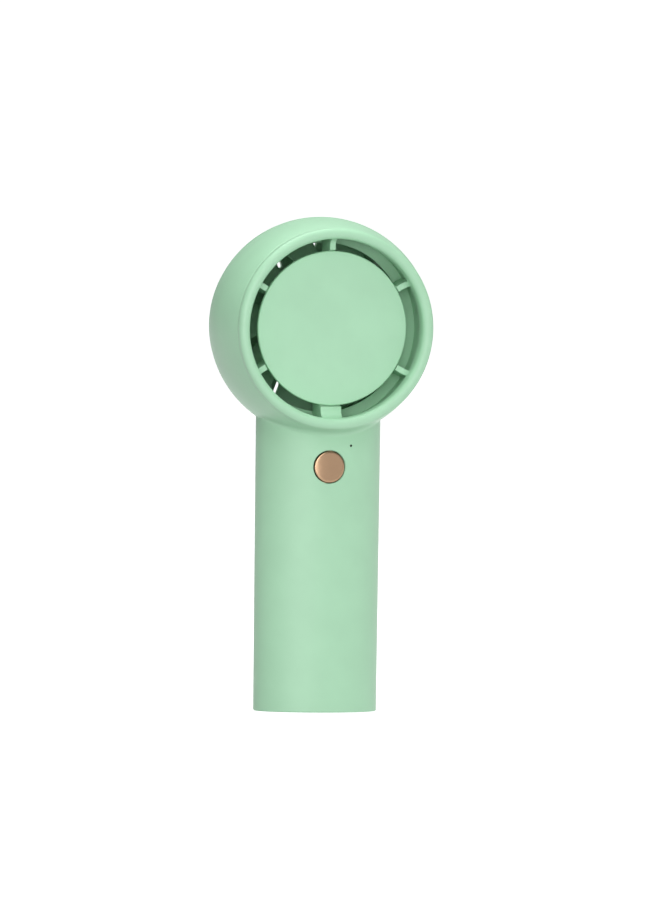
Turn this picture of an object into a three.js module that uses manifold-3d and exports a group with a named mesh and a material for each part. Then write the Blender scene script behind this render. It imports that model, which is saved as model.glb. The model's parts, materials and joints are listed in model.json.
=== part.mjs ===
// A pocket electric fan: a drum head on an oval handle, blown by a small axial impeller.
// Millimetres, +Z up, the air leaves towards -Y. The origin is on the ground under the handle.

import * as THREE from "three";
import { mergeVertices } from "three/addons/utils/BufferGeometryUtils.js";
import Module from "manifold-3d";

const wasm = await Module();
wasm.setup();

// ---- driving dimensions -------------------------------------------------------------------

const GAP = 0.3; // clearance between pieces that meet
const FINE = 48; // facets round the shell pieces
const MEDIUM = 32; // facets round the motor's larger pieces
const COARSE = 16; // facets round shafts, bearings and buttons

// Head: every piece of it is turned about the line through HEAD_Z, along Y.
const HEAD_Z = 128.5;
const FRONT_Y = -22;
const REAR_Y = 22;
const DRUM_R = 36.8; // at the drum's widest ring
const DRUM_WIDEST_Y = -1.7;
const DRUM_ARC_R = 50; // the drum's side is an arc of this radius
const DRUM_FRONT_Y = -18.5;
const DRUM_BACK_Y = 15.4;
const DRUM_WALL = 2.1;

const LIP_R = 33.8; // outer radius of the front lip
const THROAT_R = 30; // opening inside the lip
const THROAT_WALL = 1.4;
const THROAT_BACK_Y = -16.5;

// Behind the lip the drum has an inner tube, which ends in a shelf that faces the front.
const BORE_R = THROAT_R + THROAT_WALL + GAP;
const TUBE_WALL = 1.5;
const POCKET_FRONT_Y = -11.2; // hollow between that tube and the drum's side
const SHELF_R = 28.3;
const SHELF_FRONT_Y = -4.7;
const SHELF_BACK_Y = -3.5;
const CHAMBER_BACK_Y = 9.3; // from here the rear cover's collar is gripped

const DISC_R = 25.8;
const DISC_FRONT_Y = -15.6;
const DISC_T = 1.4;

const BOWL_RIM_Y = DISC_FRONT_Y + DISC_T + GAP;
const BOWL_RIM_R = 25;
const BOWL_FLOOR_R = 12;
const BOWL_BACK_Y = -3;
const BOWL_WALL = 1.6;
const BOWL_FLOOR_T = 1.8;

const WEB_FRONT_Y = -15.2;
const WEB_BACK_Y = -5.5;
const WEB_T = 2;
const WIDE_WEB_T = 7.2;
const WEB_ROOT_R = 31.2;
const THIN_WEB_HOURS = [2, 4, 8, 10, 12]; // places on a clock face, seen from the front
const HOUR = Math.PI / 6;

const COLLAR_R = 32; // rear cover's duct collar, outside
const COLLAR_WALL = 1.2;
const COLLAR_FRONT_Y = SHELF_BACK_Y + GAP;
const COVER_T = 1.8;
const COVER_FLAT_R = 20;
const INTAKE_COUNT = 24;
const INTAKE_W = 1.4;
const INTAKE_INNER_R = 20.5;
const INTAKE_OUTER_R = 28;

const VENT_Y = 5;
const VENT_W = 3;
const VENT_SPAN = THREE.MathUtils.degToRad(11.5);
const VENT_PITCH = THREE.MathUtils.degToRad(18);

// Handle: an upright oval sleeve, slightly wider at the top.
const HANDLE_HALF_W = 21;
const HANDLE_HALF_W_TOP = 21.3;
const HANDLE_HALF_D = 14.66;
const HANDLE_WALL = 1.8;
const SLEEVE_TOP_Z = 110;
const CAP_T = 2.6;
const CAP_SCREW_X = 14.5;
const CAP_SCREW_HOLE_R = 1.15;
const CAP_SCREW_SINK_R = 1.9;
const CAP_SCREW_SINK_Z = 1.55;

// Controls on the handle's front.
const BUTTON_Z = 82.1;
const BUTTON_R = 5.2;
const BUTTON_PROUD = 0.25;
const BUTTON_FLANGE_R = 6.6;
const BUTTON_FLANGE_Y = [-11.7, -11];
const SWITCH_HALF_W = 3;
const PLUNGER_R = 1.75;
const LAMP_X = 7.56;
const LAMP_Z = 89.2;
const PINHOLE_R = 0.45;

// Circuit board and battery inside the handle.
const BOARD_FRONT_Y = -8.6;
const BOARD_T = 1;
const BOARD_HALF_W = 12;
const BOARD_BOTTOM_Z = 3;
const BOARD_TOP_Z = 91;
const BOARD_BACK_Y = BOARD_FRONT_Y + BOARD_T;
const BOARD_SCREW_HOLE_R = 1.1;
const SLED_Y = BOARD_BACK_Y + GAP; // front face of the sled's plate
const SLED_T = 1;
const CELL_R = 9.2;
const CELL_L = 65.2;
const CELL_Y = SLED_Y + SLED_T + GAP + CELL_R;
const CELL_Z = 9.6;
const TAB_T = 0.4;
const LEAD_R = 0.45;
const LEAD_SIDES = 8;
const LEAD_SLOT_X = [-2.6, 2.6]; // openings for the motor's three leads

// USB-C receptacle on the board's back.
const USB_W = 8.94;
const USB_H = 3.2;
const USB_WALL = 0.3;
const USB_SPAN_Z = [0.4, 7.7];
const USB_Y = BOARD_BACK_Y + GAP + USB_H / 2;
const PORT_W = 9.6;
const PORT_H = 3.9;

// Motor, on the bowl's floor behind the disc.
const SHAFT_R = 1;
const SHAFT_BORE_R = SHAFT_R + GAP;
const SHAFT_FRONT_Y = -2.4;
const SHAFT_BACK_Y = 12;
const BASE_R = 8.8;
const BASE_FRONT_Y = BOWL_BACK_Y + GAP;
const BASE_T = 1;
const BEARING_R = 2.6;
const BEARING_W = 2;
const TUBE_R = 3.8;
const TUBE_BACK_Y = 7.2;
const STATOR_R = 8.3;
const STATOR_FRONT_Y = 1.6;
const STATOR_T = 3.4;
const TOOTH_COUNT = 6;
const TOOTH_W = 1.6;
const CAN_R = 10.6;
const CAN_WALL = 0.7;
const CAN_BACK_Y = 8.4;
const MOTOR_SCREW_RING_R = 7;
const MOTOR_SCREW_HOLE_R = 0.95;

// Impeller, pressed over the rotor can.
const HUB_R = 12.2;
const HUB_FRONT_Y = -0.6;
const HUB_BACK_Y = 10.5;
const BLADE_COUNT = 9;
const BLADE_TIP_R = 30.1;

// ---- materials ----------------------------------------------------------------------------

const paint = (color, roughness, metalness = 0) =>
  new THREE.MeshStandardMaterial({ color, roughness, metalness, flatShading: true });

const MINT = paint("#b2debd", 0.45);
const GLOSS_MINT = paint("#a6d6b4", 0.2);
const ROSE_GOLD = paint("#b08a6c", 0.3, 0.9);
const STEEL = paint("#a9acb0", 0.35, 0.9);
const MAGNET = paint("#3a3b3e", 0.6, 0.3);
const COPPER = paint("#b4683c", 0.35, 0.9);
const NICKEL = paint("#c6c5bf", 0.3, 1);
const BOARD_GREEN = paint("#1f5a3a", 0.5);
const BLACK = paint("#1b1c1e", 0.5);
const WHITE = paint("#e9e9e4", 0.5);
const CELL_WRAP = paint("#5d86a8", 0.35);
const CLEAR = paint("#eef3ef", 0.15);
const RED = paint("#b3302b", 0.5);

// ---- solids -------------------------------------------------------------------------------

// A closed three.js geometry as a manifold solid whose faces point out.
function solid(geometry) {
  const bare = new THREE.BufferGeometry();
  bare.setAttribute("position", geometry.getAttribute("position"));
  bare.setIndex(geometry.index);
  const merged = mergeVertices(bare, 1e-4);
  const corner = merged.index.array;
  const facing = signedVolume(merged) < 0 ? -1 : 1;
  const triVerts = [];
  for (let i = 0; i < corner.length; i += 3) {
    const [a, b, c] = corner.slice(i, i + 3);
    if (a === b || b === c || c === a) continue;
    triVerts.push(a, ...(facing > 0 ? [b, c] : [c, b]));
  }
  return new wasm.Manifold(
    new wasm.Mesh({
      numProp: 3,
      vertProperties: merged.attributes.position.array,
      triVerts: new Uint32Array(triVerts),
    }),
  );
}

function signedVolume(geometry) {
  const place = geometry.attributes.position;
  const [a, b, c] = [0, 1, 2].map(() => new THREE.Vector3());
  let sum = 0;
  for (let i = 0; i < geometry.index.count; i += 3) {
    [a, b, c].forEach((v, k) => v.fromBufferAttribute(place, geometry.index.getX(i + k)));
    sum += a.dot(b.cross(c));
  }
  return sum / 6;
}

function geometryOf(body) {
  const mesh = body.getMesh();
  const geometry = new THREE.BufferGeometry();
  geometry.setAttribute("position", new THREE.BufferAttribute(mesh.vertProperties, mesh.numProp));
  geometry.setIndex(new THREE.BufferAttribute(mesh.triVerts, 1));
  geometry.computeVertexNormals();
  return geometry;
}

const join = (first, ...rest) => rest.reduce((sum, body) => sum.add(body), first);
const cut = (first, ...rest) => rest.reduce((left, body) => left.subtract(body), first);

// A profile of [radius, y] points turned about the Y axis.
function turned(profile, facets = FINE) {
  const points = profile.map(([r, y]) => new THREE.Vector2(r, y));
  return new THREE.LatheGeometry(points, facets);
}

// A profile whose outline is a closed loop away from the axis.
const ring = (loop, facets = FINE) => turned([...loop, loop[0]], facets);

const box = ([x0, x1], [y0, y1], [z0, z1]) =>
  new THREE.BoxGeometry(x1 - x0, y1 - y0, z1 - z0).translate(
    (x0 + x1) / 2,
    (y0 + y1) / 2,
    (z0 + z1) / 2,
  );

const rodAlongY = (r, x, [y0, y1], z, facets = COARSE) =>
  new THREE.CylinderGeometry(r, r, y1 - y0, facets).translate(x, (y0 + y1) / 2, z);

const rodAlongZ = (r, x, y, [z0, z1], facets = COARSE) =>
  new THREE.CylinderGeometry(r, r, z1 - z0, facets)
    .rotateX(Math.PI / 2)
    .translate(x, y, (z0 + z1) / 2);

const extrude = (shape, depth, curveSegments) =>
  new THREE.ExtrudeGeometry(shape, { depth, curveSegments, bevelEnabled: false });

// A shape drawn in X and Z, as thick as from y0 to y1.
const slabAlongY = (shape, [y0, y1], curveSegments = 12) =>
  extrude(shape, y1 - y0, curveSegments)
    .rotateX(Math.PI / 2)
    .translate(0, y1, 0);

// A shape drawn in X and Y, as thick as from z0 to z1.
const slabAlongZ = (shape, [z0, z1], curveSegments = 4) =>
  extrude(shape, z1 - z0, curveSegments).translate(0, 0, z0);

// An upright oval solid from a profile of [half width, z], depth in the given share of width.
const oval = (profile, depthShare, facets = FINE) =>
  turned(profile, facets)
    .rotateX(Math.PI / 2)
    .scale(1, depthShare, 1);

// A slot outline with round ends, centred on the origin and long in X.
function slotShape(length, width) {
  const r = width / 2;
  const shape = new THREE.Shape();
  shape.absarc(length / 2 - r, 0, r, -Math.PI / 2, Math.PI / 2, false);
  shape.absarc(r - length / 2, 0, r, Math.PI / 2, (Math.PI * 3) / 2, false);
  shape.closePath();
  return shape;
}

function arcBandShape(inner, outer, from, to) {
  const shape = new THREE.Shape();
  shape.absarc(0, 0, outer, from, to, false);
  shape.absarc(0, 0, inner, to, from, true);
  shape.closePath();
  return shape;
}

// A quarter of an ellipse from (r + dr, y) round to (r, y + dy), as [radius, y] points.
function quarter(r, dr, y, dy, steps, from = 0) {
  return Array.from({ length: steps + 1 }, (_, i) => {
    const t = from + ((Math.PI / 2 - from) * i) / steps;
    return [r + dr * Math.cos(t), y + dy * Math.sin(t)];
  });
}

// Joins equal-length loops of points into one closed skin with flat ends.
function loft(loops) {
  const size = loops[0].length;
  const places = loops.flat().flatMap((p) => [p.x, p.y, p.z]);
  const faces = [];
  for (let i = 0; i + 1 < loops.length; i++) {
    for (let k = 0; k < size; k++) {
      const [a, b] = [i * size + k, i * size + ((k + 1) % size)];
      faces.push(a, b, b + size, a, b + size, a + size);
    }
  }
  const last = (loops.length - 1) * size;
  for (let k = 1; k + 1 < size; k++) {
    faces.push(0, k + 1, k, last, last + k, last + k + 1);
  }
  const geometry = new THREE.BufferGeometry();
  geometry.setAttribute("position", new THREE.Float32BufferAttribute(places, 3));
  geometry.setIndex(faces);
  return geometry;
}

// A round lead through the given [x, y, z] points.
function lead(points, stepLength = 3) {
  const path = new THREE.CatmullRomCurve3(points.map((p) => new THREE.Vector3(...p)));
  const section = new THREE.Shape().absarc(0, 0, LEAD_R, 0, Math.PI * 2);
  return new THREE.ExtrudeGeometry(section, {
    steps: Math.ceil(path.getLength() / stepLength),
    extrudePath: path,
    curveSegments: LEAD_SIDES / 2, // a full circle takes two points for each
  });
}

// A pan-head screw along Y: its head ends at +headH, its point at -length.
function screwGeometry({ headR, headH, shankR, length }) {
  const profile = [
    [0, -length],
    [shankR / 2, -length],
    [shankR, -length + shankR],
    [shankR, 0],
    [headR, 0],
    [headR, headH / 2],
    [headR * 0.7, headH],
    [0, headH],
  ];
  return turned(profile, 14);
}

// ---- the scene ----------------------------------------------------------------------------

const fan = new THREE.Group();
const head = new THREE.Group();
head.position.z = HEAD_Z;
fan.add(head);

function place(parent, name, body, material) {
  const mesh = new THREE.Mesh(geometryOf(body.isBufferGeometry ? solid(body) : body), material);
  mesh.name = name;
  parent.add(mesh);
  return mesh;
}

// ---- shell --------------------------------------------------------------------------------

// Radius of the drum's arched side at y, less an inset.
function drumRadius(y, inset = 0) {
  const arc = DRUM_ARC_R - inset;
  return DRUM_R - DRUM_ARC_R + Math.sqrt(arc ** 2 - (y - DRUM_WIDEST_Y) ** 2);
}

function drumSide(y0, y1, steps, inset = 0) {
  return Array.from({ length: steps + 1 }, (_, i) => {
    const y = y0 + ((y1 - y0) * i) / steps;
    return [drumRadius(y, inset), y];
  });
}

const SLEEVE_DEPTH_SHARE = HANDLE_HALF_D / HANDLE_HALF_W;
const INNER_HALF_W = HANDLE_HALF_W - HANDLE_WALL;
const INNER_HALF_D = HANDLE_HALF_D - HANDLE_WALL;

// One moulding: the arched drum and the handle's sleeve under it.
function mainHousing() {
  const rearBoreR = COLLAR_R + GAP;
  const tubeR = BORE_R + TUBE_WALL;
  const overshoot = 1;
  const edge = 1;
  const lift = new THREE.Matrix4().makeTranslation(0, 0, HEAD_Z);

  const drumSkin = drumSide(DRUM_FRONT_Y, DRUM_BACK_Y, 9);
  const drum = solid(
    turned([[0, DRUM_FRONT_Y], ...drumSkin, [0, DRUM_BACK_Y]]).applyMatrix4(lift),
  );
  const hollow = solid(
    turned([
      [0, DRUM_FRONT_Y - overshoot],
      [BORE_R, DRUM_FRONT_Y - overshoot],
      [BORE_R, SHELF_FRONT_Y],
      [SHELF_R, SHELF_FRONT_Y],
      [SHELF_R, SHELF_BACK_Y],
      [tubeR, SHELF_BACK_Y],
      [tubeR, POCKET_FRONT_Y],
      ...drumSide(POCKET_FRONT_Y, CHAMBER_BACK_Y, 4, DRUM_WALL),
      [rearBoreR, CHAMBER_BACK_Y],
      [rearBoreR, DRUM_BACK_Y + overshoot],
      [0, DRUM_BACK_Y + overshoot],
    ]).applyMatrix4(lift),
  );
  const sleeve = solid(
    oval(
      [
        [0, 0],
        [HANDLE_HALF_W - edge, 0],
        [HANDLE_HALF_W - edge * 0.3, edge * 0.3],
        [HANDLE_HALF_W, edge],
        [HANDLE_HALF_W_TOP, SLEEVE_TOP_Z],
        [0, SLEEVE_TOP_Z],
      ],
      SLEEVE_DEPTH_SHARE,
    ),
  );
  const cavity = solid(
    oval(
      [
        [0, -overshoot],
        [INNER_HALF_W, -overshoot],
        [INNER_HALF_W, SLEEVE_TOP_Z],
        [0, SLEEVE_TOP_Z],
      ],
      INNER_HALF_D / INNER_HALF_W,
    ),
  );
  const vents = [-2, -1, 0, 1, 2].map((step) => {
    const middle = Math.PI / 2 + step * VENT_PITCH;
    const reach = [middle - VENT_SPAN / 2, middle + VENT_SPAN / 2];
    const band = arcBandShape(rearBoreR, DRUM_R + overshoot, ...reach);
    const thickness = [VENT_Y - VENT_W / 2, VENT_Y + VENT_W / 2];
    return solid(slabAlongY(band, thickness, 3).applyMatrix4(lift));
  });
  const frontWall = [-HANDLE_HALF_D - overshoot, BOARD_FRONT_Y];
  const buttonHole = solid(rodAlongY(BUTTON_R + GAP, 0, frontWall, BUTTON_Z, 32));
  const pinhole = solid(rodAlongY(PINHOLE_R, LAMP_X, frontWall, LAMP_Z, 8));
  const leadHole = solid(box(LEAD_SLOT_X, [-9.6, -5.9], [90, HEAD_Z - BORE_R + overshoot]));

  const shell = cut(join(drum, sleeve), hollow, cut(cavity, drum));
  return cut(shell, ...vents, buttonHole, pinhole, leadHole);
}

// Outline of a web in [radius, y], from the bowl's side out to the bore, level then swept into the lip.
function webOutline() {
  const innerBackR = 19.6;
  const innerFrontR = 24.2;
  const stepR = DISC_R + GAP;
  const sweepR = 28.2;
  const sweepRise = 2.8;
  const outline = new THREE.Shape();
  outline.moveTo(WEB_ROOT_R, WEB_BACK_Y);
  outline.lineTo(innerBackR, WEB_BACK_Y);
  outline.lineTo(innerFrontR, BOWL_RIM_Y);
  outline.lineTo(stepR, BOWL_RIM_Y);
  outline.lineTo(stepR, WEB_FRONT_Y);
  outline.lineTo(sweepR, WEB_FRONT_Y);
  const wallR = THROAT_R + THROAT_WALL / 2;
  outline.quadraticCurveTo(THROAT_R - 0.2, WEB_FRONT_Y, wallR, WEB_FRONT_Y - sweepRise);
  outline.lineTo(WEB_ROOT_R, WEB_FRONT_Y - sweepRise);
  outline.closePath();
  return outline;
}

function web(thickness, hours) {
  return solid(
    extrude(webOutline(), thickness, 4)
      .translate(0, 0, -thickness / 2)
      .rotateY(-Math.PI / 2)
      .rotateY(hours * HOUR),
  );
}

// The front lip with its throat wall, the six webs and the bowl that carries the motor.
function outletRing() {
  const tubeR = (LIP_R - THROAT_R) / 2;
  const tubeMidR = (LIP_R + THROAT_R) / 2;
  const tubeMidY = FRONT_Y + tubeR;
  const spigotR = THROAT_R + THROAT_WALL;
  const flangeY = DRUM_FRONT_Y - GAP;
  const crest = Array.from({ length: 8 }, (_, i) => {
    const t = (Math.PI * i) / 7;
    return [tubeMidR + tubeR * Math.cos(t), tubeMidY - tubeR * Math.sin(t)];
  });
  const lip = solid(
    ring([
      [spigotR, THROAT_BACK_Y],
      [spigotR, flangeY],
      [LIP_R, flangeY],
      ...crest,
      [THROAT_R, THROAT_BACK_Y],
    ]),
  );
  const depth = BOWL_BACK_Y - BOWL_RIM_Y;
  const outside = quarter(BOWL_FLOOR_R, BOWL_RIM_R - BOWL_FLOOR_R, BOWL_RIM_Y, depth, 6);
  const insideFloorR = BOWL_FLOOR_R - 1;
  const insideReach = BOWL_RIM_R - BOWL_WALL - insideFloorR;
  const inside = quarter(insideFloorR, insideReach, BOWL_RIM_Y, depth - BOWL_FLOOR_T, 4);
  const bowl = solid(
    turned([[0, BOWL_BACK_Y], ...outside.reverse(), ...inside, [0, BOWL_BACK_Y - BOWL_FLOOR_T]], MEDIUM),
  );
  const floorSpan = [BOWL_BACK_Y - BOWL_FLOOR_T - 1, BOWL_BACK_Y + 1];
  const screwHoles = motorScrewPlaces().map(([x, z]) =>
    solid(rodAlongY(MOTOR_SCREW_HOLE_R, x, floorSpan, z, 10)),
  );
  const leadWindow = solid(box(LEAD_SLOT_X, floorSpan, [-9.3, -6.3]));
  const channelHalfW = 2.2;
  const channelSpan = [-WEB_ROOT_R - 1, -18.5];
  const channel = solid(box([-channelHalfW, channelHalfW], [-10.8, -6.9], channelSpan));
  const webs = THIN_WEB_HOURS.map((hours) => web(WEB_T, hours));
  const body = join(lip, bowl, ...webs, web(WIDE_WEB_T, 6));
  return cut(body, ...screwHoles, leadWindow, channel);
}

function frontDisc() {
  const edge = GAP;
  const back = DISC_FRONT_Y + DISC_T;
  return turned([
    [0, back],
    [DISC_R, back],
    [DISC_R, DISC_FRONT_Y + edge],
    [DISC_R - edge, DISC_FRONT_Y],
    [0, DISC_FRONT_Y],
  ]);
}

// The domed back with its intake slots and the collar that rings the impeller.
function rearCover() {
  const rimY = DRUM_BACK_Y + GAP;
  const rimR = drumRadius(DRUM_BACK_Y);
  const rise = REAR_Y - rimY;
  const reach = rimR - COVER_FLAT_R;
  const collarInnerR = COLLAR_R - COLLAR_WALL;
  const innerReach = reach - COVER_T;
  const innerStart = Math.acos((collarInnerR - COVER_FLAT_R) / innerReach);
  const shell = solid(
    turned([
      [0, REAR_Y],
      ...quarter(COVER_FLAT_R, reach, rimY, rise, 7).reverse(),
      [COLLAR_R, rimY],
      [COLLAR_R, COLLAR_FRONT_Y],
      [collarInnerR, COLLAR_FRONT_Y],
      ...quarter(COVER_FLAT_R, innerReach, rimY, rise - COVER_T, 4, innerStart),
      [0, REAR_Y - COVER_T],
    ]),
  );
  const slot = slotShape(INTAKE_OUTER_R - INTAKE_INNER_R, INTAKE_W);
  const middleR = (INTAKE_OUTER_R + INTAKE_INNER_R) / 2;
  const slots = Array.from({ length: INTAKE_COUNT }, (_, i) =>
    solid(
      slabAlongY(slot, [rimY, REAR_Y + 1], 2)
        .translate(middleR, 0, 0)
        .rotateY((2 * Math.PI * (i + 0.5)) / INTAKE_COUNT),
    ),
  );
  return cut(shell, ...slots);
}

// Plug in the sleeve's foot, flush with its end.
function bottomCap() {
  const halfW = INNER_HALF_W - GAP;
  const halfD = INNER_HALF_D - GAP;
  const plate = solid(
    oval(
      [
        [0, 0],
        [halfW, 0],
        [halfW, CAP_T],
        [0, CAP_T],
      ],
      halfD / halfW,
    ),
  );
  const port = solid(slabAlongZ(slotShape(PORT_W, PORT_H), [-1, CAP_T + 1], 6).translate(0, USB_Y, 0));
  const holes = [-1, 1].flatMap((side) => [
    solid(rodAlongZ(CAP_SCREW_SINK_R, side * CAP_SCREW_X, 0, [-1, CAP_SCREW_SINK_Z])),
    solid(rodAlongZ(CAP_SCREW_HOLE_R, side * CAP_SCREW_X, 0, [0, CAP_T + 1])),
  ]);
  return cut(plate, port, ...holes);
}

// ---- motor and impeller, turned about the head's line ---------------------------------------

function motorScrewPlaces() {
  return [0, 4, 8].map((hours) => [
    MOTOR_SCREW_RING_R * Math.sin(hours * HOUR),
    MOTOR_SCREW_RING_R * Math.cos(hours * HOUR),
  ]);
}

function motorBase() {
  const backY = BASE_FRONT_Y + BASE_T;
  const boreR = BEARING_R + GAP;
  const base = solid(
    ring(
      [
        [boreR, BASE_FRONT_Y],
        [BASE_R, BASE_FRONT_Y],
        [BASE_R, backY],
        [TUBE_R, backY],
        [TUBE_R, TUBE_BACK_Y],
        [boreR, TUBE_BACK_Y],
      ],
      MEDIUM,
    ),
  );
  const span = [BASE_FRONT_Y - 1, backY + 1];
  const holes = motorScrewPlaces().map(([x, z]) => solid(rodAlongY(MOTOR_SCREW_HOLE_R, x, span, z, 10)));
  const leadNotch = solid(box(LEAD_SLOT_X, span, [-BASE_R - 1, -6.1]));
  return cut(base, ...holes, leadNotch);
}

function bearing(frontY) {
  const backY = frontY + BEARING_W;
  const loop = [
    [SHAFT_BORE_R, frontY],
    [BEARING_R, frontY],
    [BEARING_R, backY],
    [SHAFT_BORE_R, backY],
  ];
  return ring(loop, COARSE);
}

// Laminated core: a hub ring and six T-shaped teeth.
function statorCore() {
  const span = [STATOR_FRONT_Y, STATOR_FRONT_Y + STATOR_T];
  const yoke = solid(
    ring(
      [
        [TUBE_R + GAP, span[0]],
        [5.3, span[0]],
        [5.3, span[1]],
        [TUBE_R + GAP, span[1]],
      ],
      MEDIUM,
    ),
  );
  const shoeHalfAngle = THREE.MathUtils.degToRad(21);
  const shoe = arcBandShape(
    STATOR_R - 0.7,
    STATOR_R,
    Math.PI / 2 - shoeHalfAngle,
    Math.PI / 2 + shoeHalfAngle,
  );
  const teeth = Array.from({ length: TOOTH_COUNT }, (_, i) => {
    const turn = (2 * Math.PI * i) / TOOTH_COUNT;
    const stem = box([-TOOTH_W / 2, TOOTH_W / 2], span, [4.8, STATOR_R - 0.3]);
    return join(
      solid(stem.rotateY(turn)),
      solid(slabAlongY(shoe, span, 6).rotateY(turn)),
    );
  });
  return join(yoke, ...teeth);
}

// One winding: a rounded loop of wire round a tooth.
function coil() {
  const build = 0.9;
  const halfW = TOOTH_W / 2 + GAP;
  const [y0, y1] = [STATOR_FRONT_Y - GAP, STATOR_FRONT_Y + STATOR_T + GAP];
  const reach = [5.7, 7.3];
  const outside = box([-halfW - build, halfW + build], [y0 - build, y1 + build], reach);
  const hole = box([-halfW, halfW], [y0, y1], [reach[0] - 1, reach[1] + 1]);
  return cut(solid(outside), solid(hole));
}

function rotorCan() {
  const innerR = CAN_R - CAN_WALL;
  const plateY = CAN_BACK_Y - 0.8;
  return ring(
    [
      [SHAFT_BORE_R, plateY],
      [innerR, plateY],
      [innerR, 0.2],
      [CAN_R, 0.2],
      [CAN_R, CAN_BACK_Y - 0.4],
      [CAN_R - 0.4, CAN_BACK_Y],
      [2.6, CAN_BACK_Y],
      [2.6, CAN_BACK_Y + 0.6],
      [SHAFT_BORE_R, CAN_BACK_Y + 0.6],
    ],
    MEDIUM,
  );
}

function magnetRing() {
  const outerR = CAN_R - CAN_WALL - GAP;
  const innerR = STATOR_R + 0.6;
  return ring(
    [
      [innerR, 0.4],
      [outerR, 0.4],
      [outerR, 6.6],
      [innerR, 6.6],
    ],
    MEDIUM,
  );
}

function shaftClip() {
  return ring(
    [
      [SHAFT_BORE_R, -2.2],
      [2.4, -2.2],
      [2.4, -1.7],
      [SHAFT_BORE_R, -1.7],
    ],
    COARSE,
  );
}

// Loop of points round a blade's section at radius r, on the cylinder of that radius.
function bladeSection(r) {
  const share = (r - HUB_R) / (BLADE_TIP_R - HUB_R);
  const sweep = -0.3 * share ** 2;
  const wrap = THREE.MathUtils.lerp(7, 14.5, share) / r;
  const frontY = THREE.MathUtils.lerp(2.6, 4.4, share);
  const backY = THREE.MathUtils.lerp(11.6, 11, share);
  const thickness = THREE.MathUtils.lerp(1.3, 0.8, share);
  const stations = [0.06, 0.28, 0.5, 0.72, 0.94];
  const camber = (s) => [
    sweep + wrap * (s - 0.5),
    frontY + (backY - frontY) * (s + 0.12 * Math.sin(Math.PI * s)),
  ];
  const side = (s, sign) => {
    const [[turn, y], [nextTurn, nextY]] = [camber(s), camber(s + 0.01)];
    const along = new THREE.Vector2((nextTurn - turn) * r, nextY - y).normalize();
    const half = (sign * thickness * Math.sin(Math.PI * s) ** 0.35) / 2;
    const angle = turn - (along.y * half) / r;
    return new THREE.Vector3(r * Math.sin(angle), y + along.x * half, r * Math.cos(angle));
  };
  const upper = stations.map((s) => side(s, 1));
  const lower = stations.map((s) => side(s, -1)).reverse();
  return [...upper, ...lower];
}

function impeller() {
  const cupR = CAN_R + GAP;
  const cupY = CAN_BACK_Y + 0.9;
  const hub = solid(
    ring(
      [
        [SHAFT_BORE_R, cupY],
        [cupR, cupY],
        [cupR, HUB_FRONT_Y],
        [HUB_R, HUB_FRONT_Y],
        [HUB_R, HUB_BACK_Y - 2.4],
        [HUB_R - 0.7, HUB_BACK_Y - 0.7],
        [HUB_R - 2.4, HUB_BACK_Y],
        [SHAFT_BORE_R, HUB_BACK_Y],
      ],
      MEDIUM,
    ),
  );
  const rootR = HUB_R - 0.6;
  const sections = [0, 0.33, 0.67, 1].map((share) =>
    bladeSection(rootR + (BLADE_TIP_R - rootR) * share),
  );
  const blades = Array.from({ length: BLADE_COUNT }, (_, i) =>
    solid(loft(sections).rotateY((2 * Math.PI * i) / BLADE_COUNT)),
  );
  return join(hub, ...blades);
}

function impellerNut() {
  const seatY = HUB_BACK_Y + GAP;
  return turned(
    [
      [0, SHAFT_BACK_Y + GAP],
      [SHAFT_BORE_R, SHAFT_BACK_Y + GAP],
      [SHAFT_BORE_R, seatY],
      [3.2, seatY],
      [3.2, seatY + 0.9],
      [2.3, seatY + 2.3],
      [0, seatY + 2.8],
    ],
    COARSE,
  );
}

function addHead() {
  place(head, "outlet_ring", outletRing(), MINT);
  place(head, "front_disc", frontDisc(), MINT);
  place(head, "rear_cover", rearCover(), MINT);
  place(head, "impeller", impeller(), GLOSS_MINT);
  place(head, "impeller_nut", impellerNut(), GLOSS_MINT);
  place(head, "rotor_can", rotorCan(), STEEL);
  place(head, "rotor_magnet_ring", magnetRing(), MAGNET);
  const shaftSpan = [SHAFT_FRONT_Y, SHAFT_BACK_Y];
  place(head, "motor_shaft", rodAlongY(SHAFT_R, 0, shaftSpan, 0, COARSE), STEEL);
  place(head, "shaft_clip", shaftClip(), STEEL);
  place(head, "motor_base", motorBase(), WHITE);
  place(head, "bearing_front", bearing(-1.2), STEEL);
  place(head, "bearing_rear", bearing(4.9), STEEL);
  place(head, "stator_core", statorCore(), STEEL);
  for (let i = 0; i < TOOTH_COUNT; i++) {
    const winding = place(head, `stator_coil_${i + 1}`, coil(), COPPER);
    winding.rotation.y = (2 * Math.PI * i) / TOOTH_COUNT;
  }
  motorScrewPlaces().forEach(([x, z], i) => {
    const size = { headR: 1.4, headH: 0.9, shankR: 0.65, length: 3 };
    const screw = place(head, `motor_screw_${i + 1}`, screwGeometry(size), STEEL);
    screw.position.set(x, BASE_FRONT_Y + BASE_T + GAP, z);
  });
}

// ---- inside the handle ----------------------------------------------------------------------

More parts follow.
